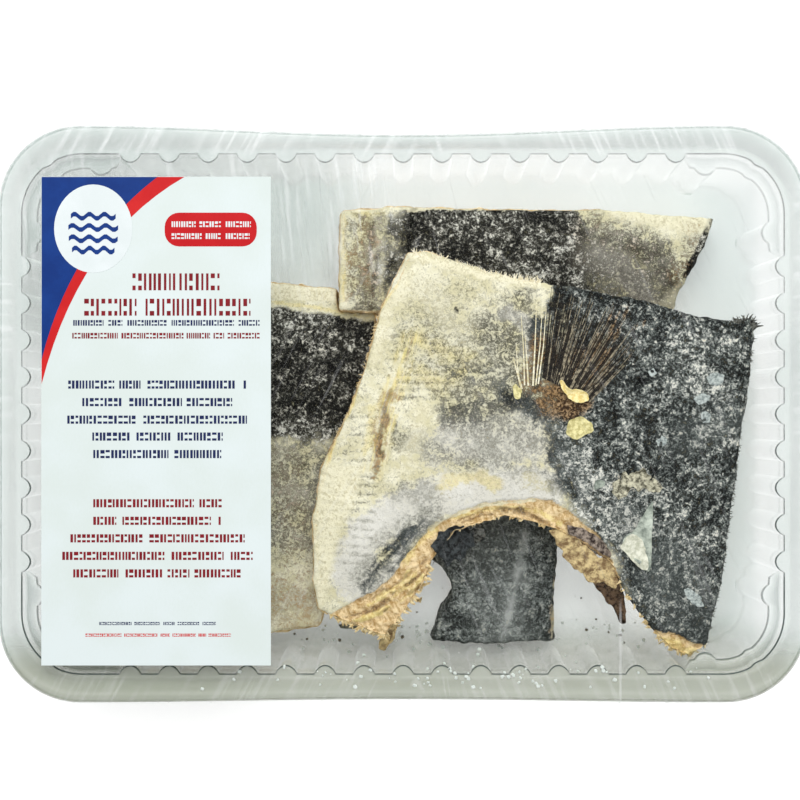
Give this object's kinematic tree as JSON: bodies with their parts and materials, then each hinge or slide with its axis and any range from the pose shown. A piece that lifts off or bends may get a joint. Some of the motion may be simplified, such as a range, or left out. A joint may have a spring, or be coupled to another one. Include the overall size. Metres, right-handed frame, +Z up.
{
  "type": "pack of salted dried fish cutlets",
  "caption": "Clear fluted retail tray under stretch film, with a paper label on top and thick salted dried fish cutlets piled inside.",
  "frame": {"origin": "below the middle of the pack, on the surface that it lies on", "axes": "+X along the pack's length from the label towards the cutlets, +Y towards the far long side, which is up in the picture, +Z up through the film"},
  "size_m": [0.2604, 0.186, 0.042],
  "materials": {
    "clear_tray": "clear, glossy, faintly green-grey",
    "clear_film": "clear stretch film with fine white stretch lines",
    "paper_label": "coated white paper with plain fields of navy and red",
    "fish_pale": "dry salted skin, cream on the belly and black on the back, with amber flesh at the cuts",
    "fish_grey": "dry salted skin, black to grey-brown, with cream flesh at the cuts",
    "fish_dark": "dry salted skin, black to brown with white specks, with cream flesh at the cuts",
    "fish_tail": "dry salted skin, dark grey with pale streaks"
  },
  "bodies": {
    "root": {"tray": "clear_tray", "film": "clear_film", "label": "paper_label", "cutlet_collar": "fish_pale", "cutlet_slab_left": "fish_grey", "cutlet_slab_far": "fish_dark", "cutlet_tail": "fish_tail"}
  },
  "joints": []
}
